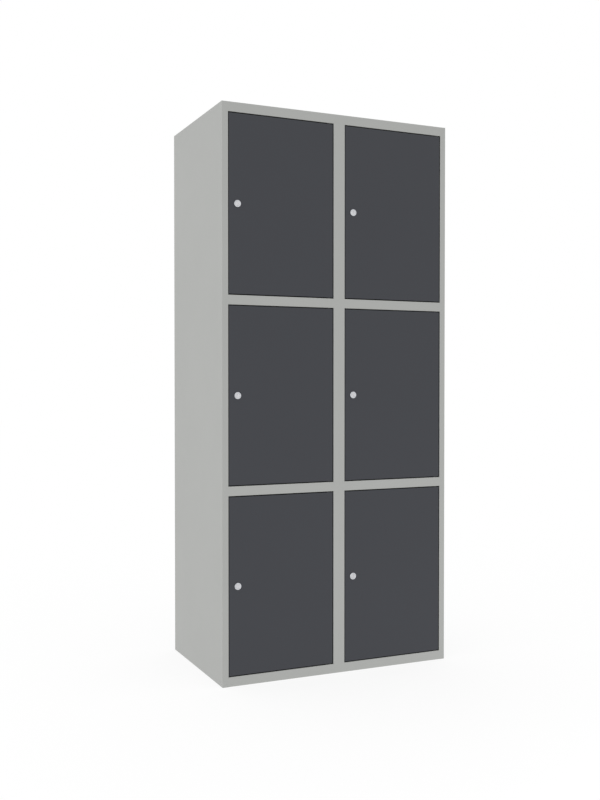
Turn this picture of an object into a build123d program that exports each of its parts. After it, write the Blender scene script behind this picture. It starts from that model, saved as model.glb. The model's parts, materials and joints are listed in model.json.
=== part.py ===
from build123d import *
import os
from collections import namedtuple
from math import sqrt

# Steel locker with two columns of three compartments, each behind an inset door with a cam lock.
# The cabinet is folded and spot welded from thin sheet. Every door is a shallow folded pan that turns on
# two pins in the rails above and below it, and is held shut by a cam that turns behind a lip of the frame.
# Millimetres, +Z up. The front faces -Y, and the origin is on the floor under the middle of the cabinet.

# Cabinet
HEIGHT = 1800.0
WIDTH = 800.0
DEPTH = 490.0
STILE_FACE = 20.0  # front face of the upright beside an opening
RAIL_FACE = 30.0  # front face of the rail above or below an opening
FRAME_DEPTH = 20.0  # from the front face to the stop lips
STOP_LIP = 10.0  # lip that stands into the opening on the lock side
BODY_SHEET = 0.8
BEND_RADIUS = 0.5  # inside radius of every fold
REAR_FLANGE = 20.0  # outer flange that holds the back panel
WELD_FLANGE = 15.0  # inner flange that is spot welded to a neighbour
PARTITION_FLANGE = 18.0
RETURN_LIP = 12.0  # edge turned back inside an upright or a rail
FIT_CLEARANCE = 0.5  # room around the notches in the sheets
CHANNEL_WEB = 60.0  # foot of the channel under the floor

# Back panel
VENT_LENGTH = 60.0
VENT_WIDTH = 5.0
VENT_PITCH = 18.0
VENT_COUNT = 7
VENT_DROP = 75.0  # from the top of an opening to the middle of its vents
FIXING_HOLE_RADIUS = 4.5
FIXING_SPACING = 400.0
FIXING_EDGE = 45.0  # from the floor or the roof to the fixing holes

# Doors
DOOR_GAP = 3.0  # above and below a door and on its hinge side
LOCK_SIDE_GAP = 2.0
DOOR_SHEET = 0.8
DOOR_LIP = 12.0
RIB_WEB = 42.0  # upright channel inside each door
RIB_FLANGE = 14.0
RIB_DEPTH = 13.0

# Hinges
HINGE_INSET = 12.0  # from the door's hinge edge to the pin's axis
CORNER_CLEARANCE = 1.0  # left by the door's front corner when it swings past the upright
PIN_RADIUS = 3.0
PIN_HEAD_RADIUS = 5.0
PIN_HEAD_HEIGHT = 2.0
PIN_REACH = 7.0  # length of the pin inside the door
BUSH_RADIUS = 4.5
BUSH_FLANGE_RADIUS = 6.0
BUSH_LENGTH = 8.0  # below the door's sheet
RUNNING_CLEARANCE = 0.1  # all round a part that turns
SEAT_CLEARANCE = 0.3  # between faces that slide past or come to rest on each other
PRESS_CLEARANCE = 0.05  # all round a part that stays put

# Door buffers
BUFFER_HEIGHT = 1.7
BUFFER_RADIUS = 3.5
BUFFER_STEM_RADIUS = 1.4
BUFFER_BULB_RADIUS = 2.3
BUFFER_BULB_HEIGHT = 1.6
BUFFER_END_DISTANCE = 60.0  # from the ends of the opening

# Locks
LOCK_OFFSET = 30.0  # from the edge of the opening to the lock's axis
LOCK_FACE_RADIUS = 11.0
LOCK_FACE_HEIGHT = 3.0
LOCK_FACE_ROUNDING = 1.2
LOCK_BODY_RADIUS = 9.5
LOCK_FLAT_WIDTH = 16.4  # across the two flats that stop the lock turning
PLUG_HEAD_RADIUS = 7.2
PLUG_HEAD_HEIGHT = 2.4
PLUG_RADIUS = 6.3
PLUG_RECESS = 0.3
PLUG_TAIL = 7.0  # square that carries the cam
KEYWAY_HEIGHT = 8.4
KEYWAY_WIDTH = 2.2
KEYWAY_DEPTH = 12.0
NUT_ACROSS_FLATS = 22.0
NUT_HEIGHT = 4.0
CAM_WIDTH = 16.0
CAM_CORNER = 3.5
CAM_SHEET = 2.0
CAM_OVERLAP = 8.0  # how far the turned cam reaches behind the lip
SCREW_RADIUS = 2.0
SCREW_LENGTH = 8.0
SCREW_HEAD_RADIUS = 5.0
SCREW_HEAD_HEIGHT = 2.6

# Places that follow from the sizes
LEFT, RIGHT = -WIDTH / 2, WIDTH / 2
FRONT, BACK = -DEPTH / 2, DEPTH / 2
FRAME_BACK = FRONT + FRAME_DEPTH
NOTCH_BACK = FRAME_BACK + BODY_SHEET + FIT_CLEARANCE
BACK_PANEL_BACK = BACK - BODY_SHEET
BACK_PANEL_FRONT = BACK_PANEL_BACK - BODY_SHEET
ROOF_UNDERSIDE = HEIGHT - BODY_SHEET
FLOOR_UNDERSIDE = RAIL_FACE - BODY_SHEET
OUTER_BEND = BEND_RADIUS + BODY_SHEET
DOOR_OUTER_BEND = BEND_RADIUS + DOOR_SHEET
DOOR_DEPTH = FRAME_DEPTH - BUFFER_HEIGHT - SEAT_CLEARANCE
BUSH_FLANGE_HEIGHT = DOOR_GAP - SEAT_CLEARANCE
PLUG_FRONT = FRONT - LOCK_FACE_HEIGHT + PLUG_RECESS
PLUG_HEAD_BACK = PLUG_FRONT + PLUG_HEAD_HEIGHT
HOUSING_BACK = FRAME_BACK + BODY_SHEET
CAM_FRONT = HOUSING_BACK + SEAT_CLEARANCE
CAM_BACK = CAM_FRONT + CAM_SHEET

# The pins stand as far back as the rounded front corner of a turning door allows
HINGE_SETBACK = DOOR_OUTER_BEND + sqrt(
    (HINGE_INSET + DOOR_GAP - CORNER_CLEARANCE - DOOR_OUTER_BEND) ** 2 - (HINGE_INSET - DOOR_OUTER_BEND) ** 2
)

Column = namedtuple("Column", "name wall_left wall_right opening_left opening_right")
Opening = namedtuple("Opening", "name column bottom top")

COLUMNS = (
    Column("left", LEFT + BODY_SHEET, -BODY_SHEET / 2, LEFT + STILE_FACE, -STILE_FACE),
    Column("right", BODY_SHEET / 2, RIGHT - BODY_SHEET, STILE_FACE, RIGHT - STILE_FACE),
)
ROWS = ("bottom", "middle", "top")
OPENING_HEIGHT = (HEIGHT - RAIL_FACE) / len(ROWS) - RAIL_FACE


def opening_bottom(row):
    """Height of the lower edge of the openings in a row, counted from the floor."""
    return RAIL_FACE + row * (OPENING_HEIGHT + RAIL_FACE)


OPENINGS = [
    Opening(f"{name}_{column.name}", column, opening_bottom(row), opening_bottom(row) + OPENING_HEIGHT)
    for row, name in enumerate(ROWS)
    for column in COLUMNS
]


def hinge_axis(column):
    """Place of the hinge pins of a column, seen from above."""
    return column.opening_right - DOOR_GAP - HINGE_INSET, FRONT + HINGE_SETBACK


def lock_plane(opening, depth):
    """Plane square to a lock's axis at a place along Y. It faces the front, with its own Y axis upwards."""
    place = (opening.column.opening_left + LOCK_OFFSET, depth, (opening.bottom + opening.top) / 2)
    return Plane(origin=place, x_dir=(1, 0, 0), z_dir=(0, -1, 0))


def buffer_places(column):
    """Places of the door buffers on the stop lip of a column, on the front face of the lip."""
    across = column.opening_left + (STOP_LIP + BEND_RADIUS) / 2
    openings = [opening for opening in OPENINGS if opening.column == column]
    heights = [opening.bottom + BUFFER_END_DISTANCE for opening in openings]
    heights += [opening.top - BUFFER_END_DISTANCE for opening in openings]
    return [(across, FRAME_BACK, height) for height in heights]


def save(piece, name):
    """Labels a finished piece and writes it to its own file."""
    piece.part.label = name
    export_step(piece.part, f"parts/{name}.step")


def folded_sheet(points, radii, thickness=BODY_SHEET):
    """Cross-section of a folded sheet that lies to the left of its points, with a radius for each fold."""
    with BuildSketch() as section:
        with BuildLine():
            FilletPolyline(*points, radius=radii)
            offset(amount=thickness, side=Side.LEFT)
        make_face()
    return section.sketch


def box_between(corner, opposite, mode=Mode.ADD):
    """Adds the box between two opposite corners to the part that is being built, or cuts it away."""
    start, end = Vector(*corner), Vector(*opposite)
    size = end - start
    with Locations([(start + end) / 2]):
        Box(abs(size.X), abs(size.Y), abs(size.Z), mode=mode)


def rod_between(place, start, end, radius, mode=Mode.ADD):
    """Adds an upright rod, given by its place in plan and its two heights, or drills its hole."""
    with Locations([(*place, (start + end) / 2)]):
        Cylinder(radius, abs(end - start), mode=mode)


def drill_buffer_holes(column):
    """Drills the stop lip of a column for the stems of its door buffers."""
    for place in buffer_places(column):
        with BuildSketch(Plane(origin=place, z_dir=(0, 1, 0))) as hole:
            Circle(BUFFER_STEM_RADIUS + PRESS_CLEARANCE)
        extrude(hole.sketch, amount=BODY_SHEET, mode=Mode.SUBTRACT)


def left_side_panel():
    """Side sheet whose front edge is folded into an upright with the stop lip of the left column."""
    column = COLUMNS[0]
    skin = [
        (LEFT + REAR_FLANGE, BACK),
        (LEFT, BACK),
        (LEFT, FRONT),
        (column.opening_left, FRONT),
        (column.opening_left, FRAME_BACK),
        (column.opening_left + STOP_LIP, FRAME_BACK),
    ]
    with BuildPart() as panel:
        with BuildSketch():
            add(folded_sheet(skin, [OUTER_BEND, OUTER_BEND, OUTER_BEND, BEND_RADIUS]))
        extrude(amount=ROOF_UNDERSIDE)
        drill_buffer_holes(column)
    return panel


def right_side_panel():
    """Side sheet whose front edge is folded into a plain upright on the hinge side of the right column."""
    opening_edge = COLUMNS[1].opening_right
    skin = [
        (opening_edge + RETURN_LIP, FRAME_BACK),
        (opening_edge, FRAME_BACK),
        (opening_edge, FRONT),
        (RIGHT, FRONT),
        (RIGHT, BACK),
        (RIGHT - REAR_FLANGE, BACK),
    ]
    with BuildPart() as panel:
        with BuildSketch():
            add(folded_sheet(skin, OUTER_BEND))
        extrude(amount=ROOF_UNDERSIDE)
    return panel


def centre_post():
    """Folded upright between the columns: plain on its hinge side, with a stop lip on its lock side."""
    hinge_side, lock_side = COLUMNS[0].opening_right, COLUMNS[1].opening_left
    skin = [
        (hinge_side + RETURN_LIP, FRAME_BACK),
        (hinge_side, FRAME_BACK),
        (hinge_side, FRONT),
        (lock_side, FRONT),
        (lock_side, FRAME_BACK),
        (lock_side + STOP_LIP, FRAME_BACK),
    ]
    with BuildPart() as post:
        with BuildSketch(Plane.XY.offset(RAIL_FACE)):
            add(folded_sheet(skin, [OUTER_BEND, OUTER_BEND, OUTER_BEND, BEND_RADIUS]))
        extrude(amount=HEIGHT - 2 * RAIL_FACE)
        drill_buffer_holes(COLUMNS[1])
    return post


def centre_partition():
    """Upright sheet between the columns, welded to the post in front and to the back panel behind."""
    right_face = COLUMNS[1].wall_left
    skin = [
        (right_face - PARTITION_FLANGE, FRAME_BACK),
        (right_face, FRAME_BACK),
        (right_face, BACK_PANEL_FRONT),
        (right_face - PARTITION_FLANGE, BACK_PANEL_FRONT),
    ]
    with BuildPart() as partition:
        with BuildSketch(Plane.XY.offset(RAIL_FACE)):
            add(folded_sheet(skin, OUTER_BEND))
        extrude(amount=ROOF_UNDERSIDE - RAIL_FACE)
    return partition


def top_panel():
    """Roof sheet, folded down into the top rail in front and into flanges at the back and the sides."""
    rail_bottom = HEIGHT - RAIL_FACE
    skin = [
        (BACK, HEIGHT - REAR_FLANGE),
        (BACK, HEIGHT),
        (FRONT, HEIGHT),
        (FRONT, rail_bottom),
        (FRAME_BACK, rail_bottom),
        (FRAME_BACK, rail_bottom + RETURN_LIP),
    ]
    with BuildPart() as panel:
        with BuildSketch(Plane.YZ.offset(LEFT)):
            add(folded_sheet(skin, OUTER_BEND))
        extrude(amount=WIDTH)
        for side in (-1, 1):
            outside = side * WIDTH / 2
            wall = outside - side * BODY_SHEET
            box_between(
                (outside, FRONT, rail_bottom),
                (outside - side * STILE_FACE, NOTCH_BACK, ROOF_UNDERSIDE),
                Mode.SUBTRACT,
            )
            box_between(
                (outside, FRAME_BACK - BEND_RADIUS, rail_bottom),
                (outside - side * (STILE_FACE + BEND_RADIUS), FRAME_BACK, ROOF_UNDERSIDE),
                Mode.SUBTRACT,
            )
            box_between(
                (outside, BACK_PANEL_BACK - BEND_RADIUS, HEIGHT - REAR_FLANGE),
                (outside - side * REAR_FLANGE, BACK, ROOF_UNDERSIDE),
                Mode.SUBTRACT,
            )
            box_between(
                (wall, NOTCH_BACK, ROOF_UNDERSIDE),
                (wall - side * BODY_SHEET, BACK_PANEL_FRONT - FIT_CLEARANCE, ROOF_UNDERSIDE - WELD_FLANGE),
            )
        for column in COLUMNS:
            rod_between(
                hinge_axis(column),
                rail_bottom,
                rail_bottom + BODY_SHEET,
                PIN_RADIUS + PRESS_CLEARANCE,
                Mode.SUBTRACT,
            )
    return panel


def folded_floor(walls, uprights, top, rear_flange, flange_end):
    """Floor sheet between two walls, folded down into a front rail and into flanges at the other edges.

    Its front corners are cut out for the two uprights, and the left corner also for a stop lip.
    """
    bottom = top - RAIL_FACE
    lip_edge = uprights[0] + STOP_LIP + FIT_CLEARANCE
    skin = [
        (BACK_PANEL_FRONT, top - rear_flange),
        (BACK_PANEL_FRONT, top),
        (FRONT, top),
        (FRONT, bottom),
        (FRAME_BACK, bottom),
        (FRAME_BACK, bottom + RETURN_LIP),
    ]
    with BuildPart() as floor:
        with BuildSketch(Plane.YZ.offset(walls[0])):
            add(folded_sheet(skin, OUTER_BEND))
        extrude(amount=walls[1] - walls[0])
        for wall, upright, inward in zip(walls, uprights, (1, -1)):
            box_between((wall, FRONT, bottom), (upright, NOTCH_BACK, top), Mode.SUBTRACT)
            box_between(
                (wall, NOTCH_BACK, top - BODY_SHEET),
                (wall + inward * BODY_SHEET, flange_end, top - WELD_FLANGE),
            )
        box_between((uprights[0], FRAME_BACK, bottom), (lip_edge, NOTCH_BACK, top), Mode.SUBTRACT)
        box_between(
            (uprights[0], FRAME_BACK - BEND_RADIUS, bottom),
            (uprights[0] + BEND_RADIUS, FRAME_BACK, top),
            Mode.SUBTRACT,
        )
    return floor.part


def base_panel():
    """Floor sheet of the cabinet, folded down into the bottom rail in front and into flanges all round."""
    walls = COLUMNS[0].wall_left, COLUMNS[1].wall_right
    uprights = COLUMNS[0].opening_left, COLUMNS[1].opening_right
    flange_end = BACK_PANEL_FRONT - BODY_SHEET - FIT_CLEARANCE
    with BuildPart() as panel:
        add(folded_floor(walls, uprights, RAIL_FACE, RAIL_FACE, flange_end))
        for column in COLUMNS:
            rod_between(
                hinge_axis(column),
                FLOOR_UNDERSIDE,
                RAIL_FACE,
                PIN_RADIUS + PRESS_CLEARANCE,
                Mode.SUBTRACT,
            )
    return panel


def shelf(column, top):
    """Shelf of one column, folded down into the rail between two doors and into flanges at the walls."""
    walls = column.wall_left, column.wall_right
    uprights = column.opening_left, column.opening_right
    flange_end = BACK_PANEL_FRONT - WELD_FLANGE
    with BuildPart() as sheet:
        add(folded_floor(walls, uprights, top, WELD_FLANGE, flange_end))
        box_between(
            (column.wall_right, BACK_PANEL_FRONT, top),
            (
                column.wall_right - PARTITION_FLANGE - FIT_CLEARANCE,
                BACK_PANEL_FRONT - BODY_SHEET - FIT_CLEARANCE,
                top - WELD_FLANGE,
            ),
            Mode.SUBTRACT,
        )
        rod_between(
            hinge_axis(column),
            top - RAIL_FACE,
            top,
            PIN_RADIUS + PRESS_CLEARANCE,
            Mode.SUBTRACT,
        )
    return sheet


def base_channel():
    """Hat channel under the floor, from front to back, that carries the partition and stands on the floor."""
    half = CHANNEL_WEB / 2
    weld_face = FLOOR_UNDERSIDE - BODY_SHEET
    start = FRAME_BACK + FIT_CLEARANCE
    end = BACK_PANEL_FRONT - BODY_SHEET - FIT_CLEARANCE
    skin = [
        (-half - WELD_FLANGE, weld_face),
        (-half, weld_face),
        (-half, 0),
        (half, 0),
        (half, weld_face),
        (half + WELD_FLANGE, weld_face),
    ]
    with BuildPart() as channel:
        with BuildSketch(Plane.XZ.offset(-end)):
            add(folded_sheet(skin, [BEND_RADIUS, OUTER_BEND, OUTER_BEND, BEND_RADIUS]))
        extrude(amount=end - start)
    return channel


def back_panel():
    """Plain sheet inside the rear flanges, with vents for each compartment and four wall fixing holes."""
    width = WIDTH - 2 * OUTER_BEND
    height = ROOF_UNDERSIDE - BEND_RADIUS
    fixing_heights = (RAIL_FACE + FIXING_EDGE, HEIGHT - FIXING_EDGE)
    with BuildPart() as panel:
        with BuildSketch(Plane.XZ.offset(-BACK_PANEL_BACK)):
            with Locations([(0, height / 2)]):
                Rectangle(width, height)
            for opening in OPENINGS:
                middle = (opening.column.wall_left + opening.column.wall_right) / 2
                with Locations([(middle, opening.top - VENT_DROP)]):
                    with GridLocations(VENT_PITCH, 0, VENT_COUNT, 1):
                        SlotOverall(VENT_LENGTH, VENT_WIDTH, rotation=90, mode=Mode.SUBTRACT)
            for fixing_height in fixing_heights:
                with Locations([(0, fixing_height)]):
                    with GridLocations(FIXING_SPACING, 0, 2, 1):
                        Circle(FIXING_HOLE_RADIUS, mode=Mode.SUBTRACT)
        extrude(amount=BODY_SHEET)
    return panel


def hinge_pins(outward):
    """Headed pins in the rails above the doors, with outward 1, or below them, with outward -1."""
    with BuildPart() as pins:
        for opening in OPENINGS:
            rail = opening.top if outward > 0 else opening.bottom
            sheet_back = rail + outward * BODY_SHEET
            tip = rail - outward * (DOOR_GAP + PIN_REACH)
            place = hinge_axis(opening.column)
            rod_between(place, tip, sheet_back, PIN_RADIUS)
            rod_between(place, sheet_back, sheet_back + outward * PIN_HEAD_HEIGHT, PIN_HEAD_RADIUS)
    return pins


def door_buffers():
    """Rubber buffers, two for each door, pushed through the stop lips from the front."""
    bulb_back = BODY_SHEET + BUFFER_BULB_HEIGHT
    profile = [
        (0, -BUFFER_HEIGHT),
        (BUFFER_RADIUS - BUFFER_HEIGHT / 2, -BUFFER_HEIGHT),
        (BUFFER_RADIUS, 0),
        (BUFFER_STEM_RADIUS, 0),
        (BUFFER_STEM_RADIUS, BODY_SHEET),
        (BUFFER_BULB_RADIUS, BODY_SHEET),
        (BUFFER_STEM_RADIUS, bulb_back),
        (0, bulb_back),
    ]
    with BuildPart() as buffers:
        for column in COLUMNS:
            for place in buffer_places(column):
                with BuildSketch(Plane(origin=place)):
                    with BuildLine():
                        Polyline(*profile, close=True)
                    make_face()
                revolve(axis=Axis(place, (0, 1, 0)))
    return buffers


def rounded_slab(width, depth, height, radius):
    """Slab round the origin, with rounded edges all round its front and its back."""
    with BuildPart() as slab:
        Box(width, depth, height)
        faces = slab.faces().sort_by(Axis.Y)
        fillet(faces[0].edges() + faces[-1].edges(), radius)
    return slab.part


def door_panel(opening):
    """Door pan: front sheet, four returns and a lip all round the back, with holes for lock and bushes."""
    left, right = opening.column.opening_left + LOCK_SIDE_GAP, opening.column.opening_right - DOOR_GAP
    bottom, top = opening.bottom + DOOR_GAP, opening.top - DOOR_GAP
    width, height = right - left, top - bottom
    back = FRONT + DOOR_DEPTH
    with BuildPart() as pan:
        with Locations([((left + right) / 2, (FRONT + back) / 2, (bottom + top) / 2)]):
            add(rounded_slab(width, DOOR_DEPTH, height, DOOR_OUTER_BEND))
            add(
                rounded_slab(
                    width - 2 * DOOR_SHEET,
                    DOOR_DEPTH - 2 * DOOR_SHEET,
                    height - 2 * DOOR_SHEET,
                    BEND_RADIUS,
                ),
                mode=Mode.SUBTRACT,
            )
        box_between(
            (left + DOOR_LIP, back - DOOR_SHEET, bottom + DOOR_LIP),
            (right - DOOR_LIP, back, top - DOOR_LIP),
            Mode.SUBTRACT,
        )
        rod_between(hinge_axis(opening.column), bottom, top, BUSH_RADIUS + PRESS_CLEARANCE, Mode.SUBTRACT)
        with BuildSketch(lock_plane(opening, FRONT)):
            Circle(LOCK_BODY_RADIUS + PRESS_CLEARANCE)
            Rectangle(LOCK_FLAT_WIDTH + 2 * PRESS_CLEARANCE, 2 * LOCK_FACE_RADIUS, mode=Mode.INTERSECT)
        extrude(amount=-DOOR_SHEET, mode=Mode.SUBTRACT)
    return pan


def door_rib(opening):
    """Upright hat channel that is spot welded to the inside of the door's front sheet."""
    middle = (opening.column.opening_left + opening.column.opening_right) / 2
    weld_face = FRONT + DOOR_SHEET
    web_face = weld_face + RIB_DEPTH
    inner = RIB_WEB / 2
    outer = inner + RIB_FLANGE
    skin = [
        (middle - outer, weld_face),
        (middle - inner, weld_face),
        (middle - inner, web_face),
        (middle + inner, web_face),
        (middle + inner, weld_face),
        (middle + outer, weld_face),
    ]
    end_room = DOOR_GAP + DOOR_LIP + FIT_CLEARANCE
    with BuildPart() as rib:
        with BuildSketch(Plane.XY.offset(opening.bottom + end_room)):
            add(folded_sheet(skin, [DOOR_OUTER_BEND, BEND_RADIUS, BEND_RADIUS, DOOR_OUTER_BEND], DOOR_SHEET))
        extrude(amount=OPENING_HEIGHT - 2 * end_room)
    return rib


def hinge_bushes(opening):
    """Plastic bushes in the upper and lower returns of a door, each with a flange that runs on the rail."""
    place = hinge_axis(opening.column)
    with BuildPart() as bushes:
        for door_edge, outward in ((opening.top - DOOR_GAP, 1), (opening.bottom + DOOR_GAP, -1)):
            rod_between(place, door_edge - outward * (DOOR_SHEET + BUSH_LENGTH), door_edge, BUSH_RADIUS)
            rod_between(place, door_edge, door_edge + outward * BUSH_FLANGE_HEIGHT, BUSH_FLANGE_RADIUS)
        rod_between(place, opening.bottom, opening.top, PIN_RADIUS + RUNNING_CLEARANCE, Mode.SUBTRACT)
    return bushes


def lock_housing(opening):
    """Lock case: round face on the front of the door and a body with two flats through its sheet."""
    with BuildPart() as housing:
        with BuildSketch(lock_plane(opening, FRONT)):
            Circle(LOCK_FACE_RADIUS)
        extrude(amount=LOCK_FACE_HEIGHT)
        fillet(housing.edges().sort_by(Axis.Y)[0], LOCK_FACE_ROUNDING)
        with BuildSketch(lock_plane(opening, HOUSING_BACK)):
            Circle(LOCK_BODY_RADIUS)
            Rectangle(LOCK_FLAT_WIDTH, 2 * LOCK_BODY_RADIUS, mode=Mode.INTERSECT)
        extrude(amount=HOUSING_BACK - FRONT)
        with BuildSketch(lock_plane(opening, HOUSING_BACK)):
            Circle(PLUG_RADIUS + RUNNING_CLEARANCE)
        extrude(amount=HOUSING_BACK - PLUG_HEAD_BACK, mode=Mode.SUBTRACT)
        with BuildSketch(lock_plane(opening, PLUG_HEAD_BACK + RUNNING_CLEARANCE)):
            Circle(PLUG_HEAD_RADIUS + RUNNING_CLEARANCE)
        extrude(amount=PLUG_HEAD_HEIGHT + RUNNING_CLEARANCE + PLUG_RECESS, mode=Mode.SUBTRACT)
    return housing


def lock_nut(opening):
    """Hexagon nut that clamps the lock case from inside the door."""
    with BuildPart() as nut:
        with BuildSketch(lock_plane(opening, FRONT + DOOR_SHEET + NUT_HEIGHT)):
            RegularPolygon(NUT_ACROSS_FLATS / 2, 6, major_radius=False)
            Circle(LOCK_BODY_RADIUS + PRESS_CLEARANCE, mode=Mode.SUBTRACT)
        extrude(amount=NUT_HEIGHT)
    return nut


def lock_plug(opening):
    """Turning core of the lock: a head with the key slot, a barrel, and a square tail for the cam."""
    with BuildPart() as plug:
        with BuildSketch(lock_plane(opening, PLUG_HEAD_BACK)):
            Circle(PLUG_HEAD_RADIUS)
        extrude(amount=PLUG_HEAD_HEIGHT)
        with BuildSketch(lock_plane(opening, CAM_FRONT)):
            Circle(PLUG_RADIUS)
        extrude(amount=CAM_FRONT - PLUG_HEAD_BACK)
        with BuildSketch(lock_plane(opening, CAM_BACK)):
            Rectangle(PLUG_TAIL, PLUG_TAIL)
        extrude(amount=CAM_SHEET)
        with BuildSketch(lock_plane(opening, PLUG_FRONT + KEYWAY_DEPTH)):
            Rectangle(KEYWAY_WIDTH, KEYWAY_HEIGHT)
        extrude(amount=KEYWAY_DEPTH, mode=Mode.SUBTRACT)
        with BuildSketch(lock_plane(opening, CAM_BACK)):
            Circle(SCREW_RADIUS + PRESS_CLEARANCE)
        extrude(amount=SCREW_LENGTH + PRESS_CLEARANCE, mode=Mode.SUBTRACT)
    return plug


def lock_cam(opening):
    """Flat cam on the plug's tail, pointing down so that the door is free, and the screw that holds it."""
    reach = LOCK_OFFSET - STOP_LIP + CAM_OVERLAP
    with BuildPart() as cam:
        with BuildSketch(lock_plane(opening, CAM_BACK)) as outline:
            with Locations([(0, -reach / 2)]):
                Rectangle(CAM_WIDTH, reach)
            fillet(outline.vertices().group_by(Axis.Y)[0], CAM_CORNER)
            Circle(CAM_WIDTH / 2)
            Rectangle(PLUG_TAIL + 2 * PRESS_CLEARANCE, PLUG_TAIL + 2 * PRESS_CLEARANCE, mode=Mode.SUBTRACT)
        extrude(amount=CAM_SHEET)
        with BuildSketch(lock_plane(opening, CAM_BACK + SCREW_HEAD_HEIGHT)):
            Circle(SCREW_HEAD_RADIUS)
        extrude(amount=SCREW_HEAD_HEIGHT)
        with BuildSketch(lock_plane(opening, CAM_BACK)):
            Circle(SCREW_RADIUS)
        extrude(amount=SCREW_LENGTH)
    return cam


def main():
    """Builds every piece and writes it to the parts folder."""
    os.makedirs("parts", exist_ok=True)
    save(left_side_panel(), "left_side_panel")
    save(right_side_panel(), "right_side_panel")
    save(centre_post(), "centre_post")
    save(centre_partition(), "centre_partition")
    save(top_panel(), "top_panel")
    save(base_panel(), "base_panel")
    save(base_channel(), "base_channel")
    save(back_panel(), "back_panel")
    for row, name in enumerate(ROWS[1:], start=1):
        for column in COLUMNS:
            save(shelf(column, opening_bottom(row)), f"{name}_{column.name}_shelf")
    save(hinge_pins(1), "upper_hinge_pins")
    save(hinge_pins(-1), "lower_hinge_pins")
    save(door_buffers(), "door_buffers")
    for opening in OPENINGS:
        save(door_panel(opening), f"{opening.name}_door_panel")
        save(door_rib(opening), f"{opening.name}_door_rib")
        save(hinge_bushes(opening), f"{opening.name}_hinge_bushes")
        save(lock_housing(opening), f"{opening.name}_lock_housing")
        save(lock_nut(opening), f"{opening.name}_lock_nut")
        save(lock_plug(opening), f"{opening.name}_lock_plug")
        save(lock_cam(opening), f"{opening.name}_lock_cam")


main()
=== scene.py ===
"""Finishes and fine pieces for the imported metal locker.

The folded sheets come from the CAD frame and get their paint here. The locks, hinge pins, bushes, door buffers and
the ground welds of the front frame are modelled here in full, and a plain studio with the photograph's camera is put
round them. Lengths are in metres, in the frame of the CAD model: the origin is on the floor under the middle of the
cabinet, the front faces -Y and +Z is up. Profiles of turned pieces are in millimetres.
"""

import json
import logging
import math
from contextlib import contextmanager
from dataclasses import dataclass
from enum import Enum
from typing import Callable, Iterator, Mapping, Optional, Sequence, Union

import bmesh
import bpy
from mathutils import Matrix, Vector


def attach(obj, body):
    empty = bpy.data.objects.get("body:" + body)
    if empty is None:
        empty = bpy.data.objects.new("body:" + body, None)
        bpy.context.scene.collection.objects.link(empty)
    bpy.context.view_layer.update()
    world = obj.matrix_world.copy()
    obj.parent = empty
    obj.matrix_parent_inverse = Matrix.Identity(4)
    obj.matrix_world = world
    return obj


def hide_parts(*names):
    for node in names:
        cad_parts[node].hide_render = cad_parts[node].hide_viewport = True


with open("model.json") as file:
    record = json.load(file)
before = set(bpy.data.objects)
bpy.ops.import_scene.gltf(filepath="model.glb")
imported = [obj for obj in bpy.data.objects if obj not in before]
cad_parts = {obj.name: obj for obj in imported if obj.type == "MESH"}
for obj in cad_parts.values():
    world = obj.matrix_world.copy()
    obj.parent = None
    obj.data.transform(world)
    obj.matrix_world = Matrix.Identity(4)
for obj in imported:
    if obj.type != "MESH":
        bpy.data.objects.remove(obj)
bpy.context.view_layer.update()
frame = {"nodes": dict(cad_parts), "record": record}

LOG = logging.getLogger("locker")

MM = 0.001
CLOSE = 0.01 * MM  # how far from a plane a point may lie and still count as on it
MERGED = 0.002 * MM  # how near two points of a mesh lie that are merged
PARALLEL = 0.9  # how much of a unit vector lies along an axis where the two count as parallel
WHITE = (1.0, 1.0, 1.0)

Colour = tuple[float, float, float]
Point = tuple[float, float, float]
Profile = Sequence[tuple[float, float]]
Rule = Callable[[Vector, Vector], bool]


def display_colour(red: float, green: float, blue: float) -> Colour:
    """Turns a display colour into the linear one that a shader takes.

    Args:
        red: Red from 0 to 255.
        green: Green from 0 to 255.
        blue: Blue from 0 to 255.

    Returns:
        The linear colour, from 0 to 1.
    """
    shares = (red / 255, green / 255, blue / 255)
    return tuple(share / 12.92 if share <= 0.04045 else ((share + 0.055) / 1.055) ** 2.4 for share in shares)


def placed(profile: Profile, base: float, outward: int = 1) -> Profile:
    """Puts a profile at its place on an axis.

    Args:
        profile: Points as radius and distance from the base.
        base: Place of the base on the axis.
        outward: 1 where the distances count up along the axis, -1 where they count down.

    Returns:
        The points as radius and place on the axis.
    """
    return [(radius, base + outward * distance) for radius, distance in profile]


def rounded_edge(radius: float, face: float, rounding: float, steps: int) -> Profile:
    """Gives the points of a turned piece's rounded outer edge, from its face round to its side.

    Args:
        radius: Outer radius of the piece.
        face: Depth of its face, which looks towards -Y.
        rounding: Radius of the rounding.
        steps: Number of steps.

    Returns:
        The points as radius and depth.
    """
    angles = [math.radians(90 * step / steps - 90) for step in range(steps + 1)]
    inner, depth = radius - rounding, face + rounding
    return [(inner + rounding * math.cos(angle), depth + rounding * math.sin(angle)) for angle in angles]


class Slot(Enum):
    """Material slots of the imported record."""

    CABINET_PAINT = "cabinet_paint"
    DOOR_PAINT = "door_paint"
    LOCK_CHROME = "lock_chrome"
    LOCK_CORE = "lock_core"
    LOCK_ZINC = "lock_zinc"
    PIN_STEEL = "pin_steel"
    BUSH_PLASTIC = "bush_plastic"
    BUFFER_RUBBER = "buffer_rubber"


class Element(Enum):
    """What is picked in edit mode."""

    VERTEX = "VERT"
    EDGE = "EDGE"
    FACE = "FACE"


class Turning(Enum):
    """Axis that a turned piece is spun round."""

    DEPTH = (0.0, 1.0, 0.0)
    UPRIGHT = (0.0, 0.0, 1.0)


class Joining(Enum):
    """How one piece works on another."""

    CUT = "DIFFERENCE"
    WELD = "UNION"
    COMMON = "INTERSECT"


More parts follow.
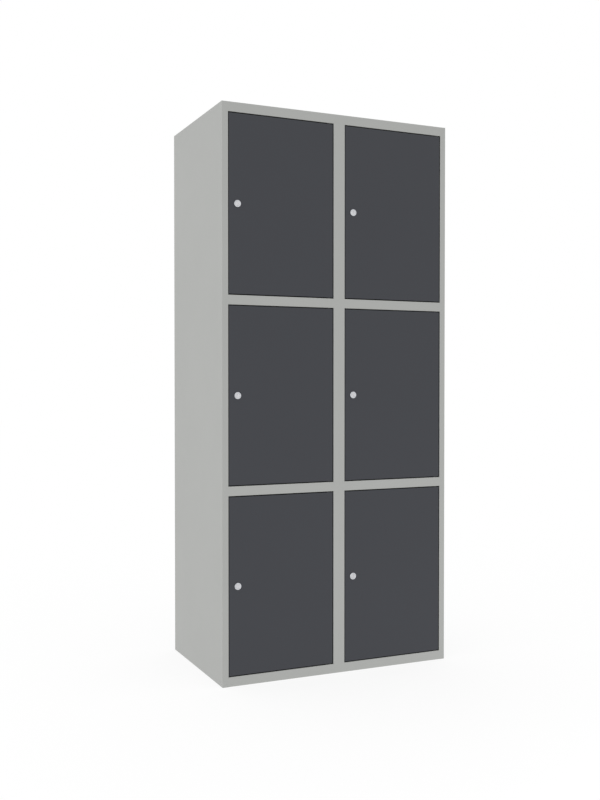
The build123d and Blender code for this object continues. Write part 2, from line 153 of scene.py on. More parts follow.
class Level(Enum):
    """Rows of compartments, counted from the floor."""

    BOTTOM = 0
    MIDDLE = 1
    TOP = 2


class Side(Enum):
    """Columns of compartments, with the left edge of their openings."""

    LEFT = -380 * MM
    RIGHT = 20 * MM


@dataclass(frozen=True)
class Compartment:
    """One compartment, with the places of its door's fittings."""

    level: Level
    side: Side
    opening_width: float = 360 * MM
    opening_height: float = 560 * MM
    pitch: float = 590 * MM
    rail: float = 30 * MM
    door_gap: float = 3 * MM
    lock_offset: float = 30 * MM
    hinge_inset: float = 12 * MM
    hinge_depth: float = -236.859 * MM

    @property
    def name(self) -> str:
        """Name of the compartment, as it starts its nodes' names."""
        return f"{self.level.name}_{self.side.name}".lower()

    @property
    def right(self) -> float:
        """Right edge of the opening."""
        return self.side.value + self.opening_width

    @property
    def bottom(self) -> float:
        """Height of the opening's lower edge."""
        return self.rail + self.level.value * self.pitch

    @property
    def top(self) -> float:
        """Height of the opening's upper edge."""
        return self.bottom + self.opening_height

    @property
    def middle(self) -> Vector:
        """Middle of the opening, without its depth."""
        return Vector((self.side.value + self.opening_width / 2, 0, self.bottom + self.opening_height / 2))

    @property
    def lock_place(self) -> Vector:
        """Point on the lock's axis."""
        return Vector((self.side.value + self.lock_offset, 0, self.bottom + self.opening_height / 2))

    @property
    def hinge_place(self) -> Vector:
        """Point on the hinge's axis, at floor level."""
        return Vector((self.right - self.door_gap - self.hinge_inset, self.hinge_depth, 0))

    @property
    def offset(self) -> Vector:
        """Way from the first compartment to this one."""
        return self.lock_place - FIRST.lock_place


COMPARTMENTS = tuple(Compartment(level, side) for level in Level for side in Side)
FIRST = COMPARTMENTS[0]
COLUMN_PITCH = Side.RIGHT.value - Side.LEFT.value


# --------------------------------------------------------------------------------------------------------------------
# Shader tools
# --------------------------------------------------------------------------------------------------------------------


def maths(operation: str, reflected: bool = False) -> Callable[["Signal", "Value"], "Signal"]:
    """Makes an operator of Signal.

    Args:
        operation: Operation of the Math node that it adds.
        reflected: Whether the signal is the second value.

    Returns:
        The operator.
    """

    def operator(self: "Signal", other: "Value") -> "Signal":
        """Works on the signal and a value."""
        return self.worked(operation, other, self) if reflected else self.worked(operation, self, other)

    return operator


class Signal:
    """An output of a shader node that takes part in Python expressions."""

    def __init__(self, tree: "ShaderTree", socket: bpy.types.NodeSocket) -> None:
        """Wraps a socket.

        Args:
            tree: Tree that the socket's node is in.
            socket: The output socket.
        """
        self.tree = tree
        self.socket = socket

    def worked(self, operation: str, *values: "Value") -> "Signal":
        """Adds a Math node.

        Args:
            operation: The node's operation.
            *values: Its values, in order.

        Returns:
            The result.
        """
        return self.tree.node("ShaderNodeMath", {"operation": operation}, dict(enumerate(values)))

    __add__ = __radd__ = maths("ADD")
    __mul__ = __rmul__ = maths("MULTIPLY")
    __sub__, __rsub__ = maths("SUBTRACT"), maths("SUBTRACT", reflected=True)
    __truediv__, __pow__ = maths("DIVIDE"), maths("POWER")
    or_more, or_less = maths("MAXIMUM"), maths("MINIMUM")

    def rounded(self) -> "Signal":
        """Rounds to the nearest whole number."""
        return self.worked("ROUND", self)

    def wrapped(self, reach: float) -> "Signal":
        """Repeats between minus reach and reach."""
        return self.worked("WRAP", self, reach, -reach)

    def swing(self, reach: float) -> "Signal":
        """Turns a noise around 0.5 into one around 0 that goes half a reach each way."""
        return (self - 0.5) * reach

    def faded(self, start: float, end: float) -> "Signal":
        """Goes smoothly from 0 at start to 1 at end.

        Args:
            start: Value that gives 0.
            end: Value that gives 1.

        Returns:
            The result.
        """
        settings = {"interpolation_type": "SMOOTHSTEP", "clamp": True}
        return self.tree.node("ShaderNodeMapRange", settings, {"Value": self, "From Min": start, "From Max": end})


Value = Union[float, Sequence[float], Signal]


class ShaderTree:
    """The node tree of a material or of the world."""

    def __init__(self, owner: Union[bpy.types.Material, bpy.types.World]) -> None:
        """Clears the owner's nodes.

        Args:
            owner: Material or world whose nodes are made.
        """
        owner.use_nodes = True
        self.nodes = owner.node_tree.nodes
        self.links = owner.node_tree.links
        self.nodes.clear()

    def node(
        self,
        kind: str,
        settings: Optional[Mapping[str, object]] = None,
        inputs: Optional[Mapping[Union[int, str], Value]] = None,
        output: Union[int, str] = 0,
    ) -> Signal:
        """Adds a node.

        Args:
            kind: The node's type.
            settings: Its settings.
            inputs: Values or signals of its input sockets, by name or number.
            output: Name or number of the output to use.

        Returns:
            The chosen output, or the first input of a node that has no outputs.
        """
        made = self.nodes.new(kind)
        for name, value in (settings or {}).items():
            setattr(made, name, value)
        for name, value in (inputs or {}).items():
            if isinstance(value, Signal):
                self.links.new(value.socket, made.inputs[name])
            else:
                made.inputs[name].default_value = self._fitted(made.inputs[name], value)
        return Signal(self, made.outputs[output] if made.outputs else made.inputs[0])

    @staticmethod
    def _fitted(socket: bpy.types.NodeSocket, value: Value) -> Value:
        """Gives a colour its fourth number where the socket wants one."""
        return (*value, 1.0) if socket.type == "RGBA" and len(value) == 3 else value

    def place(self) -> Signal:
        """Gives the object coordinates, which are the row frame's."""
        return self.node("ShaderNodeTexCoord", output="Object")

    def parts(self) -> list[Signal]:
        """Gives the object coordinates as three numbers."""
        first = self.node("ShaderNodeSeparateXYZ", inputs={0: self.place()})
        return [Signal(self, output) for output in first.socket.node.outputs]

    def parts_round(self, centre: Vector) -> list[Signal]:
        """Gives the object coordinates across and up from a point that repeats in every compartment.

        Args:
            centre: The point in the first compartment.

        Returns:
            The three numbers. The depth is the row frame's.
        """
        across, depth, height = self.parts()
        return [
            (across - centre.x).wrapped(COLUMN_PITCH / 2),
            depth,
            (height - centre.z).wrapped(FIRST.pitch / 2),
        ]

    def noise(self, where: Signal, size: float, detail: float = 2.0, stretch: Point = (1, 1, 1)) -> Signal:
        """Adds soft noise.

        Args:
            where: Coordinates in metres.
            size: Width of a patch in metres.
            detail: Number of finer layers.
            stretch: How many times finer the noise is along each axis.

        Returns:
            The noise, around 0.5.
        """
        if stretch != (1, 1, 1):
            where = self.node("ShaderNodeMapping", inputs={"Vector": where, "Scale": stretch})
        return self.node("ShaderNodeTexNoise", inputs={"Vector": where, "Scale": 1 / size, "Detail": detail})

    def blended(self, first: Colour, second: Colour, share: Signal) -> Signal:
        """Mixes two colours.

        Args:
            first: Colour where share is 0.
            second: Colour where share is 1.
            share: The share.

        Returns:
            The mixed colour.
        """
        return self.node("ShaderNodeMix", {"data_type": "RGBA"}, {0: share, 6: first, 7: second}, 2)

    def relief(self, height: Signal, depth: float) -> Signal:
        """Turns a height from 0 to 1 into a bumpy normal.

        Args:
            height: The height.
            depth: Real depth of the relief in metres.

        Returns:
            The normal.
        """
        inputs = {"Strength": 1.0, "Distance": depth, "Height": height}
        return self.node("ShaderNodeBump", inputs=inputs, output="Normal")


# --------------------------------------------------------------------------------------------------------------------
# Finishes
# --------------------------------------------------------------------------------------------------------------------


@dataclass(frozen=True)
class WeldRow:
    """A straight row of spot welds, which show as shallow dimples under the paint.

    The start is in the row frame, or from the middle of each compartment's opening where the row repeats. A dimple
    has its full depth within the flat share of its radius.
    """

    start: Point
    along: Point
    pitch: float
    count: int
    repeats: bool = False
    radius: float = 2.6 * MM
    flat_share: float = 0.55

    def dimples(self, tree: ShaderTree) -> Signal:
        """Adds the row's pattern.

        Args:
            tree: Tree of the material.

        Returns:
            A signal that is 1 in the welds and 0 away from them.
        """
        parts = tree.parts_round(FIRST.middle) if self.repeats else tree.parts()
        offsets = [part - first for part, first in zip(parts, self.start)]
        reach = offsets[0] * self.along[0] + offsets[1] * self.along[1] + offsets[2] * self.along[2]
        nearest = (reach / self.pitch).rounded().or_more(0).or_less(self.count - 1) * self.pitch
        aside = [offset - nearest * share for offset, share in zip(offsets, self.along)]
        distance = (aside[0] ** 2 + aside[1] ** 2 + aside[2] ** 2) ** 0.5
        return 1 - distance.faded(self.radius * self.flat_share, self.radius)


@dataclass(frozen=True)
class Finish:
    """A finish whose pattern is laid out in the row frame and feeds a Principled shader."""

    name: str
    colour: Colour
    roughness: float

    def _inputs(self, tree: ShaderTree, where: Signal) -> dict[str, Value]:
        """Works out what the shader takes.

        Args:
            tree: Tree of the material.
            where: Object coordinates.

        Returns:
            Values and signals by the names of the shader's sockets.
        """
        raise NotImplementedError

    def material(self) -> bpy.types.Material:
        """Makes the material.

        Returns:
            The material, named after the finish.
        """
        made = bpy.data.materials.new(self.name)
        tree = ShaderTree(made)
        shader = tree.node("ShaderNodeBsdfPrincipled", inputs=self._inputs(tree, tree.place()))
        tree.node("ShaderNodeOutputMaterial", inputs={"Surface": shader})
        return made


@dataclass(frozen=True)
class PowderCoat(Finish):
    """Baked powder coat on sheet steel, with its orange peel, fine grain and a slight random drift of tone and gloss.

    Its colour is also darker where the peel and the grain are low: painted shade in their hollows. The depth of the
    welds is in depths of the peel.
    """

    sheen_level: float = 0.35
    tone_and_hollow_shade_range: float = 0.045
    peel_size: float = 2.4 * MM
    peel_depth: float = 0.045 * MM
    film_size: float = 240 * MM
    gloss_size: float = 45 * MM
    weld_depth: float = 2.5
    welds: tuple[WeldRow, ...] = ()

    def _inputs(self, tree: ShaderTree, where: Signal) -> dict[str, Value]:
        """Works out what the shader takes, as Finish says."""
        peel = tree.noise(where, self.peel_size, 1.0)
        grain = tree.noise(where, self.peel_size / 7, 1.0)
        film = tree.noise(where, self.film_size, 3.0)
        gloss = tree.noise(where, self.gloss_size)
        height = peel * 0.85 + grain * 0.15
        for row in self.welds:
            height = height - row.dimples(tree) * self.weld_depth
        # the colour mixes a random drift of tone with painted shade: it is darker where the peel and the grain are low
        dark, light = (
            tuple(share * shade for share in self.colour) for shade in (1 - self.tone_and_hollow_shade_range, 1 + self.tone_and_hollow_shade_range)
        )
        return {
            "Base Color": tree.blended(dark, light, (film * 0.2 + peel * 0.15 + grain * 0.65).faded(0.3, 0.7)),
            "Roughness": self.roughness + gloss.swing(0.05) + peel.swing(0.08) + grain.swing(0.08),
            "Specular IOR Level": self.sheen_level,
            "Normal": tree.relief(height, self.peel_depth),
        }


@dataclass(frozen=True)
class TurnedMetal(Finish):
    """Metal with the fine rings that a lathe leaves round the axis of each lock."""

    dull_colour: Colour
    ring_size: float = 0.16 * MM
    ring_depth: float = 0.0012 * MM
    smudge_size: float = 6 * MM
    scratch_size: float = 1.6 * MM

    def _inputs(self, tree: ShaderTree, where: Signal) -> dict[str, Value]:
        """Works out what the shader takes, as Finish says."""
        across, depth, height = tree.parts_round(FIRST.lock_place)
        radius = (across**2 + height**2) ** 0.5
        rings = tree.noise(tree.node("ShaderNodeCombineXYZ", inputs={0: radius, 1: depth}), self.ring_size)
        smudge = tree.noise(where, self.smudge_size, 3.0)
        scratches = tree.noise(where, self.scratch_size, stretch=(1, 1, 14))
        polish = (smudge * 0.7 + rings * 0.3).faded(0.3, 0.65)
        return {
            "Base Color": tree.blended(self.dull_colour, self.colour, polish),
            "Metallic": 1.0,
            "Roughness": self.roughness + smudge.swing(0.16) + rings.swing(0.08),
            "Normal": tree.relief(rings * 0.8 + scratches * 0.2, self.ring_depth),
        }


@dataclass(frozen=True)
class PlatedSteel(Finish):
    """Zinc plated steel, with a faint cloudy tint and tumbling marks."""

    tint: Colour
    mark_depth: float = 0.004 * MM
    mark_size: float = 0.7 * MM
    cloud_size: float = 7 * MM
    scratch_size: float = 2.5 * MM

    def _inputs(self, tree: ShaderTree, where: Signal) -> dict[str, Value]:
        """Works out what the shader takes, as Finish says."""
        clouds = tree.noise(where, self.cloud_size, 3.0)
        marks = tree.noise(where, self.mark_size, 3.0)
        scratches = tree.noise(where, self.scratch_size, stretch=(9, 1, 1))
        return {
            "Base Color": tree.blended(self.colour, self.tint, clouds.faded(0.35, 0.7)),
            "Metallic": 1.0,
            "Roughness": self.roughness + clouds.swing(0.14) + marks.swing(0.12),
            "Normal": tree.relief(marks * 0.6 + scratches * 0.4, self.mark_depth),
        }


@dataclass(frozen=True)
class Moulding(Finish):
    """Moulded plastic or rubber, with the fine spark grain of its mould and a faint bloom."""

    sheen_level: float
    grain_size: float
    grain_depth: float
    bloom_size: float = 9 * MM

    def _inputs(self, tree: ShaderTree, where: Signal) -> dict[str, Value]:
        """Works out what the shader takes, as Finish says."""
        grain = tree.noise(where, self.grain_size)
        bloom = tree.noise(where, self.bloom_size, 3.0)
        pale = tuple(share * 1.25 + 0.004 for share in self.colour)
        return {
            "Base Color": tree.blended(self.colour, pale, (bloom * 0.6 + grain * 0.4).faded(0.35, 0.75)),
            "Roughness": self.roughness + bloom.swing(0.15) + grain.swing(0.10),
            "Specular IOR Level": self.sheen_level,
            "Normal": tree.relief(grain, self.grain_depth),
        }


@dataclass(frozen=True)
class StudioFloor:
    """Pale matt floor that glows softly.

    The camera sees it brighter still, straight, mirrored or through glass, with the object's shadow kept on it.
    """

    colour: Colour = (0.80, 0.80, 0.80)
    seen_colour: Colour = WHITE
    glow: float = 0.90
    seen_glow: float = 0.82
    grain_size: float = 3 * MM
    grain_depth: float = 0.02 * MM

    @staticmethod
    def _seen_directly(tree: ShaderTree) -> Signal:
        """Tells rays that the camera sees from those that only bring light.

        Args:
            tree: Tree of the material.

        Returns:
            A signal that is 1 for the seen rays and 0 for the others.
        """
        camera = tree.node("ShaderNodeLightPath", output="Is Camera Ray")
        outputs = camera.socket.node.outputs
        mirrored, through = (Signal(tree, outputs[kind]) for kind in ("Is Glossy Ray", "Is Transmission Ray"))
        return camera.or_more(mirrored).or_more(through)

    def material(self) -> bpy.types.Material:
        """Makes the material.

        Returns:
            The material.
        """
        made = bpy.data.materials.new("studio_floor")
        tree = ShaderTree(made)
        seen = self._seen_directly(tree)
        grain = tree.noise(tree.place(), self.grain_size)
        inputs = {
            "Color": tree.blended(self.colour, self.seen_colour, seen),
            "Normal": tree.relief(grain, self.grain_depth),
        }
        matt = tree.node("ShaderNodeBsdfDiffuse", inputs=inputs)
        white = tree.node("ShaderNodeEmission", inputs={"Color": WHITE, "Strength": 1.0})
        glow = seen * (self.seen_glow - self.glow) + self.glow
        mixed = tree.node("ShaderNodeMixShader", inputs={0: glow, 1: matt, 2: white})
        tree.node("ShaderNodeOutputMaterial", inputs={"Surface": mixed})
        return made


class Palette:
    """All finishes of the locker, mixed once: one for each slot, and those of the sheets that show spot welds."""

    def __init__(self) -> None:
        """Mixes every finish."""
        grey = display_colour(162.6, 163.9, 161.4)
        anthracite = display_colour(52.6, 54.5, 59.8)
        rear_welds = tuple(WeldRow((x * MM, 245 * MM, 60 * MM), (0, 0, 1), 112 * MM, 16) for x in (-390, 390))
        roof_weld = WeldRow((-360 * MM, 245 * MM, 1790 * MM), (1, 0, 0), 90 * MM, 9)
        rib_welds = tuple(
            WeldRow((x * MM, -243.4 * MM, -240 * MM), (0, 0, 1), 60 * MM, 9, repeats=True) for x in (-28.5, 28.5)
        )
        finishes = {
            Slot.CABINET_PAINT: PowderCoat("cabinet_powder_coat", grey, 0.50),
            Slot.DOOR_PAINT: PowderCoat("door_powder_coat", anthracite, 0.46),
            Slot.LOCK_CHROME: TurnedMetal("satin_chrome", (0.65, 0.66, 0.69), 0.24, (0.58, 0.59, 0.62)),
            Slot.LOCK_CORE: TurnedMetal("turned_nickel", (0.64, 0.64, 0.66), 0.30, (0.57, 0.57, 0.59)),
            Slot.LOCK_ZINC: PlatedSteel("bright_zinc", (0.56, 0.58, 0.62), 0.34, (0.60, 0.59, 0.55)),
            Slot.PIN_STEEL: PlatedSteel("zinc_plated_pin", (0.52, 0.54, 0.57), 0.30, (0.56, 0.55, 0.51)),
            Slot.BUSH_PLASTIC: Moulding("black_acetal", (0.014, 0.014, 0.016), 0.42, 0.5, 0.35 * MM, 0.004 * MM),
            Slot.BUFFER_RUBBER: Moulding("black_rubber", (0.022, 0.022, 0.022), 0.72, 0.35, 0.22 * MM, 0.008 * MM),
        }
        self.by_slot = {slot: finish.material() for slot, finish in finishes.items()}
        welded_cabinet = PowderCoat("cabinet_coat_over_welds", grey, 0.50, welds=(*rear_welds, roof_weld))
        self.welded_cabinet = welded_cabinet.material()
        self.welded_rib = PowderCoat("rib_coat_over_welds", anthracite, 0.46, welds=rib_welds).material()


# --------------------------------------------------------------------------------------------------------------------
# Modelling tools
# --------------------------------------------------------------------------------------------------------------------


def clear_selection() -> None:
    """Deselects everything, so that the next operator acts on its own piece alone."""
    bpy.ops.object.select_all(action="DESELECT")
    bpy.context.view_layer.objects.active = None


class Workpiece:
    """A mesh that is modelled at its place in the row frame."""

    def __init__(self, solid: bpy.types.Object) -> None:
        """Takes over a new primitive.

        Args:
            solid: Its object.
        """
        self.solid = solid

    @classmethod
    def _taken(cls, name: str) -> "Workpiece":
        """Brings the new primitive's place into its mesh and names it."""
        bpy.ops.object.transform_apply(location=True, rotation=True, scale=True)
        return cls(bpy.context.active_object).named(name)

    def named(self, name: str) -> "Workpiece":
        """Names the piece and its mesh."""
        self.solid.name = self.solid.data.name = name
        return self

    def grab(self) -> None:
        """Selects this piece alone and makes it the active one."""
        clear_selection()
        self.solid.select_set(True)
        bpy.context.view_layer.objects.active = self.solid

    @classmethod
    def block(cls, name: str, low: Point, high: Point) -> "Workpiece":
        """Starts from a cube that fills a box.

        Args:
            name: Name of the piece.
            low: Lowest corner.
            high: Highest corner.

        Returns:
            The new piece.
        """
        clear_selection()
        low, high = Vector(low), Vector(high)
        bpy.ops.mesh.primitive_cube_add(size=1, location=(low + high) / 2, scale=high - low)
        return cls._taken(name)

    @classmethod
    def hexagon(cls, name: str, centre: Vector, flats: float, depth: float) -> "Workpiece":
        """Starts from a six-sided prism along Y with two corners at its sides.

        Args:
            name: Name of the piece.
            centre: Its middle.
            flats: Width across flats.
            depth: Length along Y.

        Returns:
            The new piece.
        """
        clear_selection()
        turn = (math.radians(90), math.radians(30), 0)
        bpy.ops.mesh.primitive_cylinder_add(
            vertices=6, radius=flats / math.sqrt(3), depth=depth, location=centre, rotation=turn
        )
        return cls._taken(name)

    @classmethod
    def turned(cls, name: str, place: Vector, turning: Turning, profile: Profile, steps: int) -> "Workpiece":
        """Turns a profile, as on a lathe.

        Args:
            name: Name of the piece.
            place: A point on the axis.
            turning: The axis.
            profile: Points as radius and depth, or radius and height, in millimetres. It ends on the axis at both
                ends, or else at the point where it starts.
            steps: Number of steps round the axis.

        Returns:
            The new piece.
        """
        axis = Vector(turning.value)
        foot = place - axis * place.dot(axis)
        points = [foot + Vector((radius * MM, 0, 0)) + axis * (along * MM) for radius, along in profile]
        clear_selection()
        bpy.ops.mesh.primitive_plane_add(size=MM, location=points[0])
        piece = cls._taken(name)
        with piece.shaping():
            bpy.ops.mesh.select_mode(type="VERT")
            bpy.ops.mesh.select_all(action="SELECT")
            bpy.ops.mesh.merge(type="CENTER")
            for start, end in zip(points, points[1:]):
                bpy.ops.mesh.extrude_region_move(TRANSFORM_OT_translate={"value": end - start})
            bpy.ops.mesh.select_all(action="SELECT")
            bpy.ops.mesh.spin(steps=steps, angle=math.tau, center=foot, axis=axis)
        piece.close_up()
        return piece

    @contextmanager
    def shaping(self) -> Iterator[None]:
        """Opens the piece in edit mode and closes it again."""
        self.grab()
        bpy.ops.object.mode_set(mode="EDIT")
        yield
        bpy.ops.object.mode_set(mode="OBJECT")

    def close_up(self) -> None:
        """Merges double points and turns the faces outwards."""
        with self.shaping():
            bpy.ops.mesh.select_mode(type="VERT")
            bpy.ops.mesh.select_all(action="SELECT")
            bpy.ops.mesh.remove_doubles(threshold=MERGED)
            bpy.ops.mesh.select_all(action="SELECT")
            bpy.ops.mesh.normals_make_consistent(inside=False)

    def pick(self, element: Element, rule: Rule) -> None:
        """Picks vertices, edges or faces of the piece that is open in edit mode.

        Args:
            element: What to pick.
            rule: Takes the middle of an element, with the normal of a vertex or a face or the direction of an edge.
        """
        bpy.ops.mesh.select_mode(type=element.value)
        bpy.ops.mesh.select_all(action="DESELECT")
        mesh = bmesh.from_edit_mesh(self.solid.data)
        if element is Element.VERTEX:
            found = [vertex for vertex in mesh.verts if rule(vertex.co, vertex.normal)]
        elif element is Element.EDGE:
            found = [edge for edge in mesh.edges if rule(*self._edge_facts(edge))]
        else:
            found = [face for face in mesh.faces if rule(face.calc_center_median(), face.normal)]
        for item in found:
            item.select_set(True)
        mesh.select_flush_mode()
        bmesh.update_edit_mesh(self.solid.data)

    @staticmethod
    def _edge_facts(edge: bmesh.types.BMEdge) -> tuple[Vector, Vector]:
        """Gives the middle and the direction of an edge."""
        start, end = (vertex.co for vertex in edge.verts)
        return (start + end) / 2, (end - start).normalized()

    def bevel(self, rule: Rule, width: float, segments: int) -> None:
        """Rounds or chamfers edges.

        Args:
            rule: Picks the edges by their middle and direction.
            width: Width of the bevel.
            segments: Its segments; 1 is a chamfer.
        """
        with self.shaping():
            self.pick(Element.EDGE, rule)
            bpy.ops.mesh.bevel(offset=width, segments=segments, profile=0.5, affect="EDGES", clamp_overlap=True)

    def sliced(self, point: Point, normal: Point, trim: bool = False) -> None:
        """Cuts the piece, which is open in edit mode, with a plane.

        Args:
            point: A point of the plane.
            normal: Its normal.
            trim: Whether to drop what is beyond the plane and close the cut.
        """
        bpy.ops.mesh.select_all(action="SELECT")
        bpy.ops.mesh.bisect(plane_co=point, plane_no=normal, use_fill=trim, clear_outer=trim)

    def worked_by(self, tool: "Workpiece", joining: Joining) -> None:
        """Cuts, welds or trims the piece with another one, which is used up.

        Args:
            tool: The other piece.
            joining: What it does.
        """
        modifier = self.solid.modifiers.new("tool", "BOOLEAN")
        modifier.operation = joining.value
        modifier.solver = "EXACT"
        modifier.object = tool.solid
        self.grab()
        bpy.ops.object.modifier_apply(modifier=modifier.name)
        bpy.data.objects.remove(tool.solid)

    def copied(self, offset: Vector) -> "Workpiece":
        """Copies the piece with its own mesh.

        Args:
            offset: Where the copy goes, from this piece.

        Returns:
            The copy.
        """
        self.grab()
        bpy.ops.object.duplicate(linked=False)
        bpy.ops.transform.translate(value=offset)
        return self._taken(self.solid.name)

    def repeated(self) -> list["Workpiece"]:
        """Repeats a piece of the first compartment at the others.

        Returns:
            All six pieces, in the order of the compartments.
        """
        return [self, *(self.copied(place.offset) for place in COMPARTMENTS[1:])]

    @staticmethod
    def joined(name: str, pieces: Sequence["Workpiece"]) -> "Workpiece":
        """Joins pieces to the first of them.

        Args:
            name: Name of the whole.
            pieces: The pieces. All but the first are used up.

        Returns:
            The first piece, which is the whole now.
        """
        pieces[0].grab()
        for piece in pieces[1:]:
            piece.solid.select_set(True)
        bpy.ops.object.join()
        return pieces[0].named(name)

    def smoothed(self, angle: float) -> "Workpiece":
        """Shades the piece smooth over edges that are flatter than an angle.

        Args:
            angle: The angle in degrees.

        Returns:
            This piece.
        """
        self.grab()
        bpy.ops.object.shade_smooth_by_angle(angle=math.radians(angle))
        return self

    def hand_over(self, body: str, palette: Palette, slot: Slot, stands_for: Optional[str] = None) -> None:
        """Finishes the piece and lets it move with its body.

        Args:
            body: Name of the CAD body.
            palette: The finishes.
            slot: Material slot of the record that the finish comes from.
            stands_for: Name of the CAD node that the piece replaces.
        """
        self.solid.data.materials.clear()
        self.solid.data.materials.append(palette.by_slot[slot])
        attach(self.solid, body)
        if stands_for:
            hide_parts(stands_for)
        LOG.info("%s: %d faces, rides on %s", self.solid.name, len(self.solid.data.polygons), body)


def paint_node(name: str, finish: bpy.types.Material) -> None:
    """Gives a CAD node its finish.

    Args:
        name: Name of the node.
        finish: The material.
    """
    for held in frame["nodes"][name].material_slots:
        held.material = finish
    LOG.info("%s: finish %s", name, finish.name)


# --------------------------------------------------------------------------------------------------------------------
# Sub-assemblies
# --------------------------------------------------------------------------------------------------------------------


@dataclass(frozen=True)
class Cabinet:
    """The folded cabinet: paint on its sheets, and the ground welds that close the front frame's joints.

    The front edges of a weld are rounded by a share of the fold.
    """

    palette: Palette
    front: float = -245 * MM
    height: float = 1800 * MM
    fold: float = 1.3 * MM
    rounded_share: float = 0.98
    opening_edge: float = 380 * MM
    post_edge: float = 20 * MM

    def fit(self) -> None:
        """Paints every sheet of the cabinet and closes the joints of its front frame."""
        for name in frame["record"]["behaviour"]["bodies"]["cabinet"]:
            if name in ("left_side_panel", "right_side_panel", "top_panel"):
                paint_node(name, self.palette.welded_cabinet)
            elif "pins" not in name and "buffers" not in name:
                paint_node(name, self.palette.by_slot[Slot.CABINET_PAINT])
        welds = Workpiece.joined("front_frame_welds", self._rail_welds() + self._post_welds()).smoothed(32)
        welds.hand_over("cabinet", self.palette, Slot.CABINET_PAINT)

    def _weld(self, low: tuple[float, float], high: tuple[float, float], rounded_axis: int) -> Workpiece:
        """Makes one weld, flush with the frame.

        Args:
            low: Its lower left corner, across and up.
            high: Its upper right corner.
            rounded_axis: Axis of the front edges that are rounded as the folds are: 0 is across, 2 is up.

        Returns:
            The weld.
        """
        weld = Workpiece.block(
            "frame_weld", (low[0], self.front, low[1]), (high[0], self.front + self.fold, high[1])
        )
        weld.bevel(
            lambda middle, along: abs(along[rounded_axis]) > PARALLEL and middle.y < self.front + CLOSE,
            self.fold * self.rounded_share,
            4,
        )
        return weld

    def _rail_welds(self) -> list[Workpiece]:
        """Makes the welds between the rails' ends and the folds of the uprights."""
        edge, post, fold = self.opening_edge, self.post_edge, self.fold
        at_sides = [(-edge - fold, -edge), (edge, edge + fold)]
        at_post = [(-post, -post + fold), (post - fold, post)]
        feet = [FIRST.pitch * level for level in range(len(Level) + 1)]
        return [
            self._weld((left, foot), (right, foot + FIRST.rail), 0)
            for foot in feet
            for left, right in at_sides + (at_post if foot in feet[1:-1] else [])
        ]

    def _post_welds(self) -> list[Workpiece]:
        """Makes the welds between the centre post's ends and the folds of the rails that cross it."""
        return [
            self._weld((-self.post_edge, foot), (self.post_edge, foot + self.fold), 2)
            for foot in (FIRST.rail - self.fold, self.height - FIRST.rail)
        ]


@dataclass(frozen=True)
class HingePins:
    """Headed pins in the rails, one above and one below each door. Sizes are in millimetres."""

    palette: Palette
    radius: float = 3.0
    head_radius: float = 5.0
    head_height: float = 2.0
    sheet: float = 0.8
    reach: float = 10.0

    def fit(self) -> None:
        """Makes both sets of pins."""
        head, seat, tip = self.head_radius, self.sheet, -self.reach
        profile = [
            (0, tip), (self.radius - 0.7, tip), (self.radius, tip + 0.9), (self.radius, seat), (head, seat),
            (head, seat + 0.8), (head - 0.3, seat + 1.25), (head - 1.2, seat + 1.68), (head - 2.8, seat + 1.94),
            (0, seat + self.head_height),
        ]
        for node, rail, outward in (("upper_hinge_pins", FIRST.top, 1), ("lower_hinge_pins", FIRST.bottom, -1)):
            form = placed(profile, rail / MM, outward)
            pin = Workpiece.turned("hinge_pin", FIRST.hinge_place, Turning.UPRIGHT, form, 32)
            pins = Workpiece.joined(f"headed_{node}", pin.repeated()).smoothed(40)
            pins.hand_over("cabinet", self.palette, Slot.PIN_STEEL, node)


@dataclass(frozen=True)
class DoorBuffers:
    """Domed rubber buffers that are pushed through the stop lips, two for each door."""

    palette: Palette
    across: float = 5.25 * MM
    from_end: float = 60 * MM
    face: float = -225.0
    sheet: float = 0.8
    stem_radius: float = 1.4
    dome: Profile = ((0, -1.7), (1.1, -1.66), (2.1, -1.46), (2.9, -1.05), (3.35, -0.5), (3.5, 0))
    bulb: Profile = ((2.3, 0), (2.25, 0.35), (1.7, 1.2), (1.2, 1.55), (0, 1.6))

    def fit(self) -> None:
        """Makes the set of buffers."""
        back = self.face + self.sheet
        stem = [(self.stem_radius, self.face), (self.stem_radius, back)]
        profile = [*placed(self.dome, self.face), *stem, *placed(self.bulb, back)]
        places = [
            Vector((place.side.value + self.across, 0, height))
            for place in COMPARTMENTS
            for height in (place.bottom + self.from_end, place.top - self.from_end)
        ]
        first = Workpiece.turned("door_buffer", places[0], Turning.DEPTH, profile, 28)
        buffers = [first, *(first.copied(spot - places[0]) for spot in places[1:])]
        whole = Workpiece.joined("domed_door_buffers", buffers).smoothed(40)
        whole.hand_over("cabinet", self.palette, Slot.BUFFER_RUBBER, "door_buffers")


